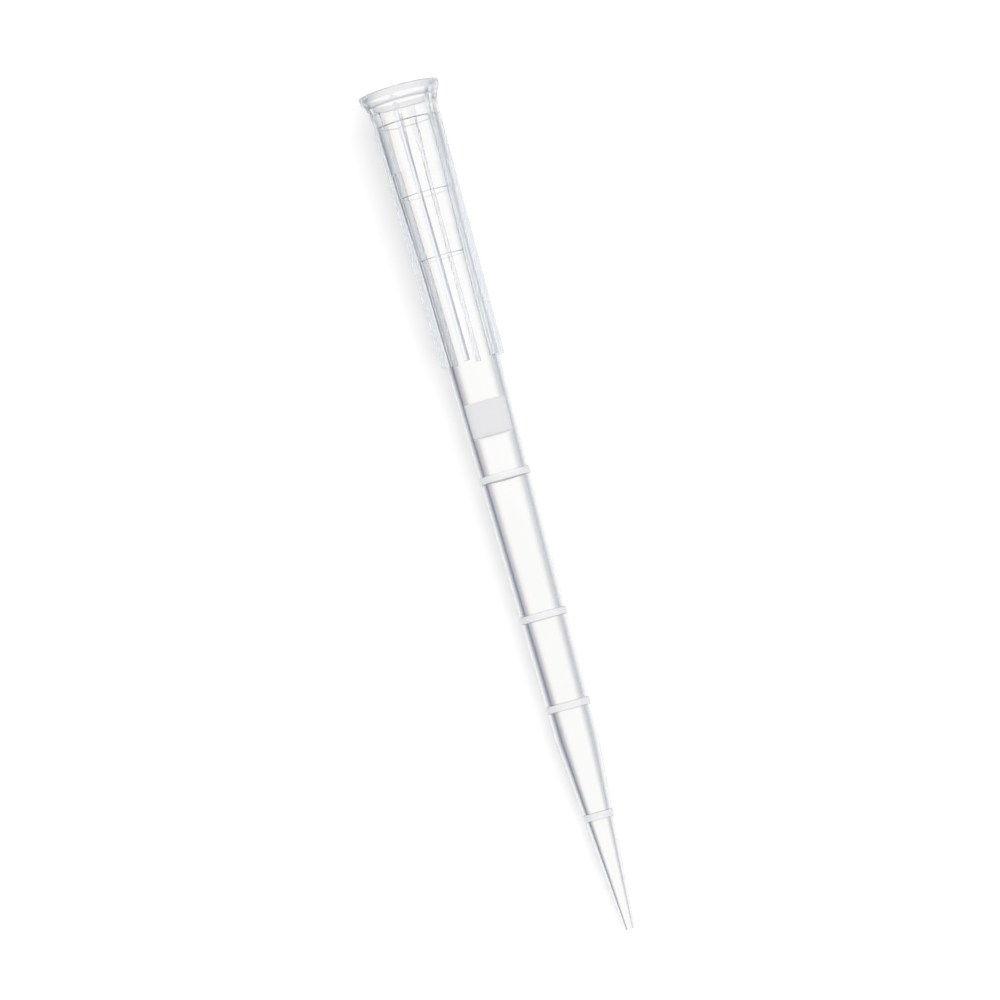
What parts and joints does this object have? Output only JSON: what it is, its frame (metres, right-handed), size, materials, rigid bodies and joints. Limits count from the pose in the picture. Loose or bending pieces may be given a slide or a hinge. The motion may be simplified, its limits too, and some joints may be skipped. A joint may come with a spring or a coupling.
{
  "type": "filter pipette tip",
  "caption": "Long clear pipette tip with a flared collar, long fins, raised graduation rings, a white porous filter plug in the bore and a fine point.",
  "frame": {"origin": "centre of the collar's rim face, on the floor the tip stands on", "axes": "+Z along the tip's axis from the mouth to the orifice; +Y through the middle of one fin"},
  "size_m": [0.0071, 0.007, 0.074],
  "materials": {
    "clear_polypropylene": "clear, moulded gloss; the graduation rings are matte",
    "porous_polyethylene": "white sintered, finely granular"
  },
  "bodies": {
    "root": {"tip_body": "clear_polypropylene", "filter_plug": "porous_polyethylene"}
  },
  "joints": []
}
